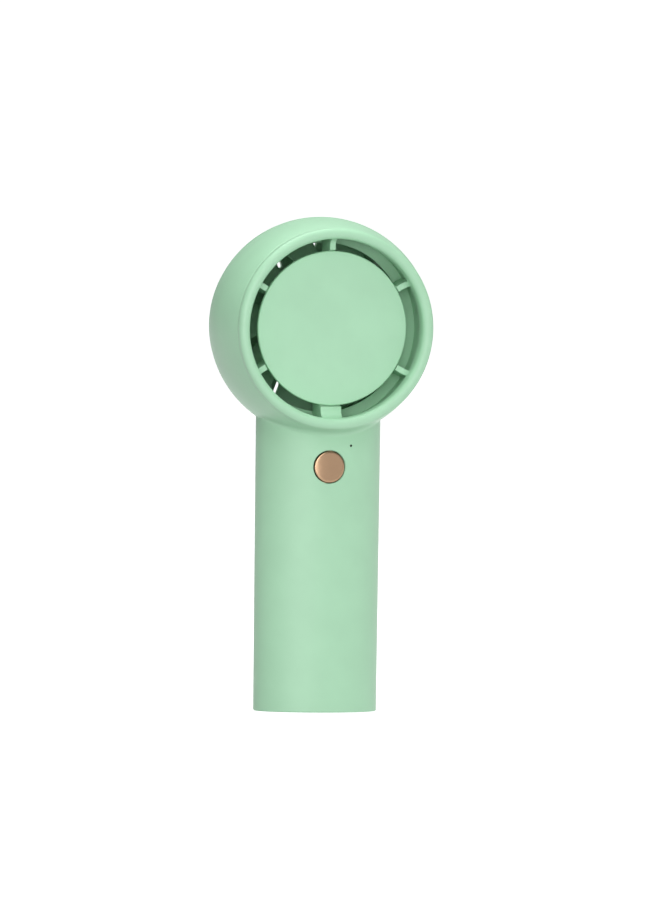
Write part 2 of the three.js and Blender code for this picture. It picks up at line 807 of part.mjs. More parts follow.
// Tray between circuit board and cell, with a foot that takes the cap's screws.
function innerFrame() {
  const plateY = [SLED_Y, SLED_Y + SLED_T];
  const topZ = 84;
  const footTopZ = CELL_Z - TAB_T - 2 * GAP;
  const footZ = [CAP_T + GAP, footTopZ];
  const railX = [CELL_R + GAP, CELL_R + GAP + 1.4];
  const stopZ = CELL_Z + CELL_L + TAB_T + 2 * GAP;
  const plate = solid(box([-12.5, 12.5], plateY, [11, topZ]));
  const rails = [-1, 1].map((side) => {
    const span = railX.map((x) => side * x).sort((a, b) => a - b);
    return solid(box(span, [plateY[0], 3], [footZ[0], topZ]));
  });
  const foot = solid(box([-17.3, 17.3], [-3.5, 4], footZ));
  const topStop = solid(box([-railX[1], railX[1]], [-3.8, 3], [stopZ, stopZ + 1.6]));
  const bosses = boardScrewPlaces().map(([x, z]) =>
    solid(box([x - 1.8, x + 2], [plateY[0], -3.6], [z - 2.2, z + 2.2])),
  );
  const pilotHoles = [-1, 1].map((side) =>
    solid(rodAlongZ(CAP_SCREW_HOLE_R, side * CAP_SCREW_X, 0, [0, footTopZ + 1], 12)),
  );
  const boardHoles = boardScrewPlaces().map(([x, z]) =>
    solid(rodAlongY(BOARD_SCREW_HOLE_R, x, [plateY[0] - 1, -3], z, 12)),
  );
  return cut(join(plate, ...rails, foot, topStop, ...bosses), ...pilotHoles, ...boardHoles);
}

function boardScrewPlaces() {
  return [
    [-10.2, 24],
    [10.2, 70],
  ];
}

function mainBoard() {
  const span = [BOARD_FRONT_Y, BOARD_BACK_Y];
  const board = solid(box([-BOARD_HALF_W, BOARD_HALF_W], span, [BOARD_BOTTOM_Z, BOARD_TOP_Z]));
  const holes = boardScrewPlaces().map(([x, z]) =>
    solid(rodAlongY(BOARD_SCREW_HOLE_R, x, [span[0] - 1, span[1] + 1], z, 12)),
  );
  return cut(board, ...holes);
}

function batteryCell() {
  const crimp = 0.5;
  const nubR = 3;
  const nubH = 1.4;
  const top = CELL_Z + CELL_L;
  return turned(
    [
      [0, CELL_Z],
      [CELL_R - crimp, CELL_Z],
      [CELL_R, CELL_Z + crimp],
      [CELL_R, top - nubH - crimp],
      [CELL_R - crimp, top - nubH],
      [nubR, top - nubH],
      [nubR, top],
      [0, top],
    ],
    32,
  )
    .rotateX(Math.PI / 2)
    .translate(0, CELL_Y, 0);
}

// Its face follows the handle's curve and stands a little proud of it.
function powerButton() {
  const halfW = HANDLE_HALF_W + BUTTON_PROUD;
  const halfD = HANDLE_HALF_D + BUTTON_PROUD;
  const postSpan = [-HANDLE_HALF_D - 2, BUTTON_FLANGE_Y[1]];
  const post = solid(rodAlongY(BUTTON_R, 0, postSpan, BUTTON_Z, 32));
  const curve = solid(
    oval(
      [
        [0, 0],
        [halfW, 0],
        [halfW, SLEEVE_TOP_Z],
        [0, SLEEVE_TOP_Z],
      ],
      halfD / halfW,
      64,
    ),
  );
  const flange = solid(rodAlongY(BUTTON_FLANGE_R, 0, BUTTON_FLANGE_Y, BUTTON_Z, 32));
  return join(post.intersect(curve), flange);
}

function switchBody() {
  const width = [-SWITCH_HALF_W, SWITCH_HALF_W];
  const height = [BUTTON_Z - SWITCH_HALF_W, BUTTON_Z + SWITCH_HALF_W];
  const body = solid(box(width, [-10.2, BOARD_FRONT_Y - GAP], height));
  return cut(body, solid(rodAlongY(PLUNGER_R + GAP, 0, [-11, -9.2], BUTTON_Z, 16)));
}

function usbShell() {
  const [mouthZ, backZ] = USB_SPAN_Z;
  const outside = slabAlongZ(slotShape(USB_W, USB_H), [mouthZ, backZ], 6);
  const hollow = slotShape(USB_W - 2 * USB_WALL, USB_H - 2 * USB_WALL);
  const inside = slabAlongZ(hollow, [mouthZ - 0.4, backZ - USB_WALL], 6);
  return cut(solid(outside), solid(inside));
}

// A part mounted on the board's front face.
const chip = ([x0, x1], height, [z0, z1]) =>
  box([x0, x1], [BOARD_FRONT_Y - GAP - height, BOARD_FRONT_Y - GAP], [z0, z1]);

function addHandleInside() {
  place(fan, "inner_frame", innerFrame(), WHITE);
  place(fan, "battery_cell", batteryCell(), CELL_WRAP);
  const bottomTabZ = CELL_Z - GAP - TAB_T;
  const topTabZ = CELL_Z + CELL_L + GAP;
  place(fan, "battery_tab_bottom", box([-3, 3], [-3.9, 6], [bottomTabZ, bottomTabZ + TAB_T]), NICKEL);
  place(fan, "battery_tab_top", box([-3, 5.6], [-3.6, 6], [topTabZ, topTabZ + TAB_T]), NICKEL);
  place(fan, "main_pcb", mainBoard(), BOARD_GREEN);
  place(fan, "controller_chip", chip([-2.5, 2.5], 1, [63.5, 68.5]), BLACK);
  place(fan, "charger_chip", chip([1, 5], 1, [22, 27]), BLACK);
  place(fan, "power_inductor", chip([-6, -0.8], 2.2, [32, 37.2]), MAGNET);
  place(fan, "switch_body", switchBody(), BLACK);
  place(fan, "switch_plunger", rodAlongY(PLUNGER_R, 0, [-10.7, -9.6], BUTTON_Z, 16), WHITE);
  place(fan, "power_button", powerButton(), ROSE_GOLD);
  place(fan, "indicator_led", chip([LAMP_X - 0.8, LAMP_X + 0.8], 0.7, [LAMP_Z - 0.4, LAMP_Z + 0.4]), WHITE);
  place(fan, "light_pipe", rodAlongY(1.2, LAMP_X, [-11.1, -9.9], LAMP_Z, 16), CLEAR);
  place(fan, "usb_shell", usbShell(), NICKEL).position.y = USB_Y;
  place(fan, "usb_tongue", box([-3.35, 3.35], [USB_Y - 0.35, USB_Y + 0.35], [1.2, 7.1]), BLACK);
}

// ---- leads and screws -----------------------------------------------------------------------

// Motor leads: up behind the board, through the drum's wall and the wide web, into the bowl.
const MOTOR_LEAD_ROUTE = [
  [-6.9, 86.6],
  [-6.9, 91],
  [-7.8, 95.5],
  [-8.8, 100],
  [-8.8, 106],
  [-8.2, 112],
  [-6.6, 117.5],
  [-4, 121],
  [-1.2, 121.2],
];

function addLeads() {
  const colours = [RED, BLACK, WHITE];
  [-1.4, 0, 1.4].forEach((x, i) => {
    const route = MOTOR_LEAD_ROUTE.map(([y, z]) => [x, y, z]);
    place(fan, `motor_lead_${i + 1}`, lead(route), colours[i]);
  });
  const topLead = [
    [4.8, -4.6, 75],
    [4.8, -5, 80],
    [4.8, -5.3, 84.4],
    [4.8, -6.2, 86],
    [4.8, -7.2, 86.2],
  ];
  const bottomLead = [
    [-2.5, -4.2, 8.65],
    [-2.5, -5.7, 8.65],
    [-2.5, -7.3, 8.65],
  ];
  place(fan, "battery_lead_positive", lead(topLead), RED);
  place(fan, "battery_lead_negative", lead(bottomLead), BLACK);
}

function addScrews() {
  [-1, 1].forEach((side, i) => {
    const size = { headR: 1.6, headH: 0.9, shankR: 0.85, length: 6.2 };
    const screw = place(fan, `cap_screw_${i + 1}`, screwGeometry(size), STEEL);
    screw.position.set(side * CAP_SCREW_X, 0, 1.25);
    screw.rotation.x = -Math.PI / 2;
  });
  boardScrewPlaces().forEach(([x, z], i) => {
    const size = { headR: 1.5, headH: 0.8, shankR: 0.8, length: 5 };
    const screw = place(fan, `board_screw_${i + 1}`, screwGeometry(size), STEEL);
    screw.position.set(x, BOARD_FRONT_Y - GAP, z);
    screw.rotation.x = Math.PI;
  });
}

place(fan, "main_housing", mainHousing(), MINT);
place(fan, "bottom_cap", bottomCap(), MINT);
addHead();
addHandleInside();
addLeads();
addScrews();

export default fan;
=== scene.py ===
"""Pocket electric fan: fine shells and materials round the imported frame. Metres, front towards -Y."""

import json
import math

import bmesh
import bpy
from mathutils import Matrix, Vector


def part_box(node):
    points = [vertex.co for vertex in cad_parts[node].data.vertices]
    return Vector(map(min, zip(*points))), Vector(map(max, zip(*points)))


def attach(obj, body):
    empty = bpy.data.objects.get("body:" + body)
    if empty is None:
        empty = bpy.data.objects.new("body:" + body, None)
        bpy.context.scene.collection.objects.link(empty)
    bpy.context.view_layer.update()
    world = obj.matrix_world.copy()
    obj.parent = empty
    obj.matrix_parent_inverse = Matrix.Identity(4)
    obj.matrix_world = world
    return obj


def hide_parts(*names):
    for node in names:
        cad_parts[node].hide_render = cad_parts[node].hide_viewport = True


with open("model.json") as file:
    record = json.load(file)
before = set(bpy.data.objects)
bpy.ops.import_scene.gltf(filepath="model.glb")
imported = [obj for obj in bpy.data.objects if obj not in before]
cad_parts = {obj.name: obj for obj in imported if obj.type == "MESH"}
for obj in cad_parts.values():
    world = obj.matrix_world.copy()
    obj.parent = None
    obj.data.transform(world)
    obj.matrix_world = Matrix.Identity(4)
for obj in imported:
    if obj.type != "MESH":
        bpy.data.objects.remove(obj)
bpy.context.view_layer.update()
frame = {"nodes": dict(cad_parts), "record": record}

# ---- sizes, worked out from the frame -------------------------------------------------------

MM = 0.001
GAP = 0.3 * MM  # clearance between the CAD pieces that meet
HOUR = math.pi / 6

ring_low, ring_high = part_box("outlet_ring")
disc_low, disc_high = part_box("front_disc")
cover_low, cover_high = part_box("rear_cover")
drum_low, drum_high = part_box("main_housing")
cap_low, cap_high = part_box("bottom_cap")
button_low, button_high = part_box("power_button")
lamp_low, lamp_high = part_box("indicator_led")
pipe_low, pipe_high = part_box("light_pipe")
can_low, can_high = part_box("rotor_can")
nut_low, nut_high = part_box("impeller_nut")
usb_low, usb_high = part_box("usb_shell")

HEAD_Z = (ring_low.z + ring_high.z) / 2
FRONT_Y = ring_low.y
LIP_R = ring_high.x
THROAT_R = LIP_R - 3.8 * MM
THROAT_BACK_Y = FRONT_Y + 5.5 * MM
THROAT_WALL = 1.4 * MM
SEAM = 0.06 * MM  # what shows of a joint between two mouldings

DRUM_R = drum_high.x
DRUM_FRONT_Y = drum_low.y
DRUM_BACK_Y = drum_high.y
DRUM_WIDEST_Y = -1.7 * MM
DRUM_ARC_R = 50 * MM
DRUM_WALL = 2.1 * MM

DISC_R = disc_high.x
DISC_FRONT_Y = disc_low.y
DISC_BACK_Y = disc_high.y

BOWL_RIM_Y = DISC_BACK_Y + GAP
BOWL_RIM_R = DISC_R - 0.8 * MM
BOWL_FLOOR_R = 12 * MM
BOWL_FLOOR = 1.8 * MM
BOWL_WALL = 1.6 * MM
BOWL_BACK_Y = ring_high.y
WEB_FRONT_Y = DISC_FRONT_Y + 0.4 * MM
WEB_BACK_Y = WEB_FRONT_Y + 9.7 * MM
WEB_FOOT_R = 19.6 * MM
WEB_SHOULDER_R = 24.2 * MM
WEB_LEVEL_R = 27 * MM  # a web's front edge is level out to here, and then sweeps up into the lip
WEB_BEND_R = 30 * MM
THIN_WEB = 2 * MM
WIDE_WEB = 7.2 * MM

COLLAR_R = 32 * MM
COLLAR_INNER_R = 30.8 * MM
COLLAR_FRONT_Y = cover_low.y

BORE_R = THROAT_R + THROAT_WALL + GAP  # the drum's inner tube behind the lip
BORE_WALL = 1.5 * MM
POCKET_FRONT_Y = -11.2 * MM
SHELF_R = 28.3 * MM
SHELF_BACK_Y = COLLAR_FRONT_Y - GAP
SHELF_FRONT_Y = SHELF_BACK_Y - 1.2 * MM
CHAMBER_BACK_Y = 9.3 * MM
LEAD_HOLE_HALF_W = 2.6 * MM
LEAD_HOLE_FRONT_Y = -9.6 * MM
LEAD_HOLE_BACK_Y = -5.9 * MM

REAR_Y = cover_high.y
COVER_FLAT_R = 20 * MM
COVER_WALL = 1.8 * MM
INTAKE_COUNT = 24
INTAKE_WIDTH = 1.4 * MM
INTAKE_REACH = (20.5 * MM, 28 * MM)

VENT_COUNT = 5
VENT_Y = 5 * MM
VENT_WIDTH = 3 * MM
VENT_SPAN = math.radians(11.5)
VENT_PITCH = math.radians(18)

SLEEVE_WALL = 1.8 * MM
SLEEVE_HALF_W = cap_high.x + GAP + SLEEVE_WALL
SLEEVE_HALF_D = cap_high.y + GAP + SLEEVE_WALL
SLEEVE_TOP_FLARE = 0.3 * MM
SLEEVE_TOP_Z = 110 * MM
SLEEVE_RINGS = 72  # close rings keep the shading even along the handle
CAVITY_TOP_Z = HEAD_Z - DRUM_R - 0.8 * MM
FOOT_ROUND = 0.5 * MM
NECK_REACH_FRONT = 3.3 * MM  # how far the fillet under the drum reaches out from the sleeve
NECK_REACH_SIDE = 0.6 * MM
NECK_DROP = 0.7  # how far it runs down the sleeve, as a share of its reach
NECK_FLARE = 0.86  # the share of the sleeve's flare that it has at the neck

BUTTON_Z = (button_low.z + button_high.z) / 2
BUTTON_R = 5.2 * MM
BUTTON_HOLE_R = BUTTON_R + GAP
BUTTON_PROUD = 0.25 * MM
BUTTON_FLANGE = 0.7 * MM
LAMP_X = (lamp_low.x + lamp_high.x) / 2
LAMP_Z = (lamp_low.z + lamp_high.z) / 2
PINHOLE_R = 0.45 * MM

PORT_WIDTH = 9.6 * MM
PORT_HEIGHT = 3.9 * MM
CAP_SCREW_X = 14.5 * MM
SCREW_WELL_R = 1.9 * MM
SCREW_WELL_DEPTH = 1.55 * MM
SCREW_HOLE_R = 1.15 * MM
SCREW_HEAD_R = 1.6 * MM
SCREW_HEAD_HEIGHT = 0.9 * MM
SCREW_SHANK_R = 0.8 * MM
RECESS_LENGTH = 1.7 * MM
RECESS_WIDTH = 0.42 * MM
RECESS_DEPTH = 0.55 * MM
THREAD_TURNS = 10
THREAD_PITCH = 0.5 * MM
THREAD_DEPTH = 0.15 * MM

HUB_R = 12.2 * MM
HUB_FRONT_Y = can_low.y - 0.8 * MM
HUB_BACK_Y = nut_low.y - GAP
HUB_ROUND = 2.4 * MM
SHAFT_HOLE_R = 1.3 * MM
NUT_HOLE_DEPTH = 1.5 * MM
NUT_SIDE = 0.9 * MM

BLADE_COUNT = 9
BLADE_TIP_R = 30.1 * MM
BLADE_SWEEP = -0.3  # radians, at the tip
BLADE_CAMBER = 0.12
BLADE_WRAP = (7 * MM, 14.5 * MM)  # at the hub and at the tip, as in the next three
BLADE_FRONT_Y = (2.6 * MM, 4.4 * MM)
BLADE_BACK_Y = (11.6 * MM, 11 * MM)
BLADE_THICKNESS = (1.3 * MM, 0.8 * MM)

# ---- mesh tools -----------------------------------------------------------------------------


def head_place(r, a, t):
    """Places a point turned about the head's axis: t is its y."""
    return (r * math.sin(a), t, HEAD_Z + r * math.cos(a))


def oval_place(depth_share):
    """Places a turned point on an upright oval: t is its height, r its half width."""
    return lambda r, a, t: (r * math.cos(a), r * math.sin(a) * depth_share, t)


def piece(name, points, faces):
    """A mesh object from points and faces, with every face turned outwards."""
    mesh = bpy.data.meshes.new(name)
    mesh.from_pydata(points, [], faces)
    tidy = bmesh.new()
    tidy.from_mesh(mesh)
    bmesh.ops.remove_doubles(tidy, verts=tidy.verts, dist=1e-8)
    bmesh.ops.recalc_face_normals(tidy, faces=tidy.faces)
    tidy.to_mesh(mesh)
    tidy.free()
    obj = bpy.data.objects.new(name, mesh)
    bpy.context.scene.collection.objects.link(obj)
    return obj


def turned(name, profile, place=head_place, facets=256, closed=False):
    """A profile of (radius, along) points turned into a solid. It ends on the axis, or is closed."""
    loops = []
    points = []
    for r, t in profile:
        count = 1 if r < 1e-9 else facets
        loops.append([len(points) + i for i in range(count)])
        points += [place(r, 2 * math.pi * i / facets, t) for i in range(count)]
    if closed:
        loops.append(loops[0])
    faces = []
    for low, high in zip(loops, loops[1:]):
        faces += band(low, high, facets)
    return piece(name, points, faces)


def band(low, high, facets):
    """Faces between two loops of a turned solid, either of which may be a point on the axis."""
    made = []
    for i in range(facets):
        k = (i + 1) % facets
        corners = [low[i % len(low)], low[k % len(low)], high[k % len(high)], high[i % len(high)]]
        face = list(dict.fromkeys(corners))
        if len(face) > 2:
            made.append(face)
    return made


def lofted(name, loops):
    """A closed skin over loops of equally many points, with a flat face at each end."""
    size = len(loops[0])
    points = [p for loop in loops for p in loop]
    faces = []
    for i in range(len(loops) - 1):
        for k in range(size):
            a, b = i * size + k, i * size + (k + 1) % size
            faces.append([a, b, b + size, a + size])
    faces.append(list(range(size)))
    faces.append(list(range((len(loops) - 1) * size, len(loops) * size)))
    return piece(name, points, faces)


def applied(obj):
    """Bakes an object's modifiers into its mesh."""
    bpy.context.view_layer.update()
    graph = bpy.context.evaluated_depsgraph_get()
    mesh = bpy.data.meshes.new_from_object(obj.evaluated_get(graph))
    obj.modifiers.clear()
    obj.data = mesh
    return obj


def boolean(target, tool, operation):
    """Joins a tool to the target or cuts it away, and uses the tool up."""
    step = target.modifiers.new(operation.lower(), "BOOLEAN")
    step.operation = operation
    step.object = tool
    step.solver = "EXACT"
    applied(target)
    bpy.data.objects.remove(tool)
    return target


def join(target, *tools):
    for tool in tools:
        boolean(target, tool, "UNION")
    return target


def cut(target, *tools):
    for tool in tools:
        boolean(target, tool, "DIFFERENCE")
    return target


def merged(objects):
    """Several objects that don't touch, as one object."""
    first, rest = objects[0], objects[1:]
    both = bmesh.new()
    for obj in objects:
        both.from_mesh(obj.data)
    both.to_mesh(first.data)
    both.free()
    for obj in rest:
        bpy.data.objects.remove(obj)
    return first


def round_edges(obj, width, segments=2, crisp_cuts=()):
    """Rounds the sharp edges a little, makes the cuts that stay crisp and shades the rest smooth."""
    edge = obj.modifiers.new("edge", "BEVEL")
    edge.width = width
    edge.segments = segments
    edge.limit_method = "ANGLE"
    edge.angle_limit = math.radians(40)
    edge.harden_normals = False
    smooth(cut(applied(obj), *crisp_cuts))
    even = obj.modifiers.new("even", "WEIGHTED_NORMAL")
    even.keep_sharp = True
    even.weight = 80
    return applied(obj)


def smooth(obj, angle=math.radians(32)):
    """Smooth shading, broken only where faces meet at more than the angle."""
    for face in obj.data.polygons:
        face.use_smooth = True
    obj.data.set_sharp_from_angle(angle=angle)
    return obj


def arc(r, t, dr, dt, steps, start=0.0, end=math.pi / 2):
    """Points on an ellipse round (r, t), with dr along the radius and dt along the axis."""
    turns = [start + (end - start) * i / steps for i in range(steps + 1)]
    return [(r + dr * math.cos(a), t + dt * math.sin(a)) for a in turns]


def slab(name, outline, depth, matrix):
    """A flat outline in the matrix's XY plane, extruded by depth along its Z."""
    loops = [[matrix @ Vector((x, y, z)) for x, y in outline] for z in (0, depth)]
    return lofted(name, loops)


def slot_outline(length, width, steps=10):
    """A long slot with round ends, along X."""
    r = width / 2
    right = arc(length / 2 - r, 0, r, r, steps, -math.pi / 2, math.pi / 2)
    left = arc(r - length / 2, 0, r, r, steps, math.pi / 2, 3 * math.pi / 2)
    return right + left


def rod(name, r, start, end, facets=64):
    """A round rod from one point to another."""
    axis = end - start
    turn = axis.to_track_quat("Z", "Y").to_matrix().to_4x4()
    turns = [2 * math.pi * i / facets for i in range(facets)]
    outline = [(r * math.cos(a), r * math.sin(a)) for a in turns]
    return slab(name, outline, axis.length, Matrix.Translation(start) @ turn)


# ---- shells ---------------------------------------------------------------------------------


def drum_radius(y, inset=0.0):
    """The arched drum's radius at y, or its inner wall's, inset from it."""
    arc_r = DRUM_ARC_R - inset
    return DRUM_R - DRUM_ARC_R + math.sqrt(arc_r**2 - (y - DRUM_WIDEST_Y) ** 2)


def drum_side(start, end, steps, inset=0.0):
    """The drum's arched side in (radius, y) points from one y to another."""
    places = [start + (end - start) * i / steps for i in range(steps + 1)]
    return [(drum_radius(y, inset), y) for y in places]


def handle_front_y(x, proud=0.0):
    """Where the handle's front face lies at a given distance to the side."""
    half_w = SLEEVE_HALF_W + proud
    return -(SLEEVE_HALF_D + proud) * math.sqrt(max(0.0, 1 - (x / half_w) ** 2))


def on_handle(r, a, t):
    """Places a point turned about the button's line, t behind the handle's curved front."""
    x = r * math.cos(a)
    return (x, handle_front_y(x) + t, BUTTON_Z + r * math.sin(a))


def neck_fillet():
    """The soft inside curve between the drum's underside and the sleeve, as a ring."""
    count, steps = 192, 10
    sections = [neck_section(2 * math.pi * i / count, steps) for i in range(count)]
    size = len(sections[0])
    points = [p for section in sections for p in section]
    faces = []
    for i in range(count):
        here, after = i * size, (i + 1) % count * size
        for k in range(size):
            m = (k + 1) % size
            faces.append([here + k, here + m, after + m, after + k])
    return piece("neck_fillet", points, faces)


def neck_section(a, steps):
    """The fillet's section at angle a round the sleeve: a curve outside, then back inside the walls."""
    half_w, half_d = SLEEVE_HALF_W + SLEEVE_TOP_FLARE * NECK_FLARE, SLEEVE_HALF_D
    away = Vector((math.cos(a) / half_w, math.sin(a) / half_d, 0)).normalized()
    ahead = max(0.0, -math.sin(a))
    reach = NECK_REACH_SIDE + (NECK_REACH_FRONT - NECK_REACH_SIDE) * ahead**2
    corner = Vector((half_w * math.cos(a), half_d * math.sin(a), 0))
    high = corner + away * reach
    for point in (corner, high):
        point.z = HEAD_Z - math.sqrt(drum_radius(point.y) ** 2 - point.x**2)
    low = corner - Vector((0, 0, reach * NECK_DROP))
    shares = [i / steps for i in range(steps + 1)]
    curve = [high.lerp(corner, s).lerp(corner.lerp(low, s), s) for s in shares]
    up, inward = Vector((0, 0, MM)), away * MM
    return [*curve, low - inward, corner - inward + up, high + up]


def housing_shell():
    """One moulding: the arched drum and the oval sleeve under it."""
    edge = 0.15 * MM
    front = DRUM_FRONT_Y - GAP / 2 + SEAM / 2
    back = DRUM_BACK_Y + GAP / 2 - SEAM / 2
    bore_back = COLLAR_R + GAP
    tube_r = BORE_R + BORE_WALL
    skin = drum_side(front + edge, back - edge, 48)
    outside = [(0, front), (skin[0][0] - edge, front), *skin, (skin[-1][0] - edge, back), (0, back)]
    drum = turned("housing_shell", outside)
    sleeve_rise = SLEEVE_TOP_Z - FOOT_ROUND
    shares = [i / SLEEVE_RINGS for i in range(1, SLEEVE_RINGS + 1)]
    sleeve_profile = [
        (0, 0),
        *arc(SLEEVE_HALF_W - FOOT_ROUND, FOOT_ROUND, FOOT_ROUND, FOOT_ROUND, 8, -math.pi / 2, 0),
        *[(SLEEVE_HALF_W + SLEEVE_TOP_FLARE * s, FOOT_ROUND + sleeve_rise * s) for s in shares],
        (0, SLEEVE_TOP_Z),
    ]
    sleeve = turned("sleeve", sleeve_profile, oval_place(SLEEVE_HALF_D / SLEEVE_HALF_W))
    shell = join(drum, sleeve, neck_fillet())

    beyond = 1 * MM
    chamber = [
        (0, front - beyond),
        (BORE_R, front - beyond),
        (BORE_R, SHELF_FRONT_Y),
        (SHELF_R, SHELF_FRONT_Y),
        (SHELF_R, SHELF_BACK_Y),
        (tube_r, SHELF_BACK_Y),
        (tube_r, POCKET_FRONT_Y),
        *drum_side(POCKET_FRONT_Y, CHAMBER_BACK_Y, 24, DRUM_WALL),
        (bore_back, CHAMBER_BACK_Y),
        (bore_back, back + beyond),
        (0, back + beyond),
    ]
    inner_w = SLEEVE_HALF_W - SLEEVE_WALL
    inner_d = SLEEVE_HALF_D - SLEEVE_WALL
    cavity = [(0, -beyond), (inner_w, -beyond), (inner_w, CAVITY_TOP_Z), (0, CAVITY_TOP_Z)]
    cut(
        shell,
        turned("chamber", chamber),
        turned("cavity", cavity, oval_place(inner_d / inner_w), 192),
    )
    cut(shell, *vent_cutters(), button_cutter(), lead_hole_cutter())
    return round_edges(shell, 0.12 * MM, crisp_cuts=[pinhole_cutter()])


def vent_cutters():
    """A row of curved slots through the drum's top, behind its middle."""
    made = []
    for i in range(VENT_COUNT):
        middle = math.pi / 2 + (i - (VENT_COUNT - 1) / 2) * VENT_PITCH
        turns = [middle + VENT_SPAN * (k / 16 - 0.5) for k in range(17)]
        outline = [((DRUM_R + MM) * math.cos(a), (DRUM_R + MM) * math.sin(a)) for a in turns]
        outline += [(COLLAR_R * math.cos(a), COLLAR_R * math.sin(a)) for a in reversed(turns)]
        place = Matrix.Translation((0, VENT_Y + VENT_WIDTH / 2, HEAD_Z))
        upright = Matrix.Rotation(math.pi / 2, 4, "X")
        made.append(slab(f"vent_{i}", outline, VENT_WIDTH, place @ upright))
    return made


def button_cutter():
    """The button's hole, with a rounded rim that follows the handle's curve."""
    flare = 0.25 * MM
    profile = [
        (0, -2 * MM),
        (BUTTON_HOLE_R + flare, -2 * MM),
        (BUTTON_HOLE_R + flare, -0.02 * MM),
        *arc(BUTTON_HOLE_R + flare, flare, -flare, -flare, 6, math.pi / 2, 0),
        (BUTTON_HOLE_R, 4 * MM),
        (0, 4 * MM),
    ]
    return turned("button_hole", profile, on_handle, 128)


def pinhole_cutter():
    """The small round window in front of the indicator lamp."""
    front, inside = -SLEEVE_HALF_D - MM, -SLEEVE_HALF_D / 2
    ends = [Vector((LAMP_X, y, LAMP_Z)) for y in (front, inside)]
    return rod("pinhole", PINHOLE_R, *ends, 32)


def lead_hole_cutter():
    """The opening in the drum's underside that lets the motor's leads into the handle."""
    low, high = 90 * MM, HEAD_Z - BORE_R + MM
    x, front, back = LEAD_HOLE_HALF_W, LEAD_HOLE_FRONT_Y, LEAD_HOLE_BACK_Y
    outline = [(-x, front), (x, front), (x, back), (-x, back)]
    return slab("lead_hole", outline, high - low, Matrix.Translation((0, 0, low)))


def web_outline():
    """A web's side in (radius, y): it runs level from the disc, then sweeps up into the lip."""
    root = THROAT_R + THROAT_WALL / 2
    free_end = BORE_R - 0.5 * MM
    level_end = Vector((WEB_LEVEL_R, WEB_FRONT_Y))
    bend = Vector((WEB_BEND_R, WEB_FRONT_Y))
    top = Vector((THROAT_R + 0.3 * MM, FRONT_Y + 2 * MM))
    steps = 12
    sweep = []
    for i in range(steps + 1):
        s = i / steps
        sweep.append(level_end.lerp(bend, s).lerp(bend.lerp(top, s), s))
    return [
        (root, THROAT_BACK_Y - GAP),
        (free_end, THROAT_BACK_Y - GAP),
        (free_end, WEB_BACK_Y),
        (WEB_FOOT_R, WEB_BACK_Y),
        (WEB_SHOULDER_R, BOWL_RIM_Y),
        (DISC_R + GAP, BOWL_RIM_Y),
        (DISC_R + GAP, WEB_FRONT_Y),
        *[(p.x, p.y) for p in sweep],
        (root, top.y),
    ]


def web(name, thickness, hours):
    """One web: its side outline, extruded across and turned to its place on the clock face."""
    across = Matrix.Rotation(-math.pi / 2, 4, "Y") @ Matrix.Translation((0, 0, -thickness / 2))
    place = Matrix.Translation((0, 0, HEAD_Z)) @ Matrix.Rotation(hours * HOUR, 4, "Y") @ across
    return round_edges(slab(name, web_outline(), thickness, place), 0.25 * MM, segments=3)


def outlet_ring():
    """The front lip and throat, the webs, and the bowl that carries the motor."""
    tube = (LIP_R - THROAT_R) / 2
    flange = DRUM_FRONT_Y - GAP / 2 - SEAM / 2
    edge = 0.15 * MM
    spigot = THROAT_R + THROAT_WALL
    profile = [
        (spigot, THROAT_BACK_Y + edge),
        (spigot, flange),
        (LIP_R - edge, flange),
        (LIP_R, flange - edge),
        *arc((LIP_R + THROAT_R) / 2, FRONT_Y + tube, tube, -tube, 32, 0, math.pi),
        (THROAT_R, THROAT_BACK_Y - edge),
        (THROAT_R + edge, THROAT_BACK_Y),
        (spigot - edge, THROAT_BACK_Y),
    ]
    lip = turned("outlet_ring_moulding", profile, closed=True)
    depth = BOWL_BACK_Y - BOWL_RIM_Y
    inner_floor_r = BOWL_FLOOR_R - MM
    outside = arc(BOWL_FLOOR_R, BOWL_RIM_Y, BOWL_RIM_R - BOWL_FLOOR_R, depth, 24)
    inner_reach = BOWL_RIM_R - BOWL_WALL - inner_floor_r
    inside = arc(inner_floor_r, BOWL_RIM_Y, inner_reach, depth - BOWL_FLOOR, 20)
    bowl_profile = [(0, BOWL_BACK_Y), *reversed(outside), *inside, (0, BOWL_BACK_Y - BOWL_FLOOR)]
    bowl = turned("bowl", bowl_profile, facets=160)
    webs = [web(f"web_{hours}", THIN_WEB, hours) for hours in (2, 4, 8, 10, 12)]
    join(lip, bowl, web("web_6", WIDE_WEB, 6), *webs)
    return smooth(lip)


def front_disc():
    """The flat round cap in the middle of the head's front."""
    edge = 0.45 * MM
    profile = [
        (0, DISC_BACK_Y),
        (DISC_R - 0.2 * MM, DISC_BACK_Y),
        (DISC_R, DISC_BACK_Y - 0.2 * MM),
        *reversed(arc(DISC_R - edge, DISC_FRONT_Y + edge, edge, edge, 8, -math.pi / 2, 0)),
        *[(DISC_R * i / 8, DISC_FRONT_Y) for i in range(7, 0, -1)],
        (0, DISC_FRONT_Y),
    ]
    return smooth(turned("front_disc_cap", profile))


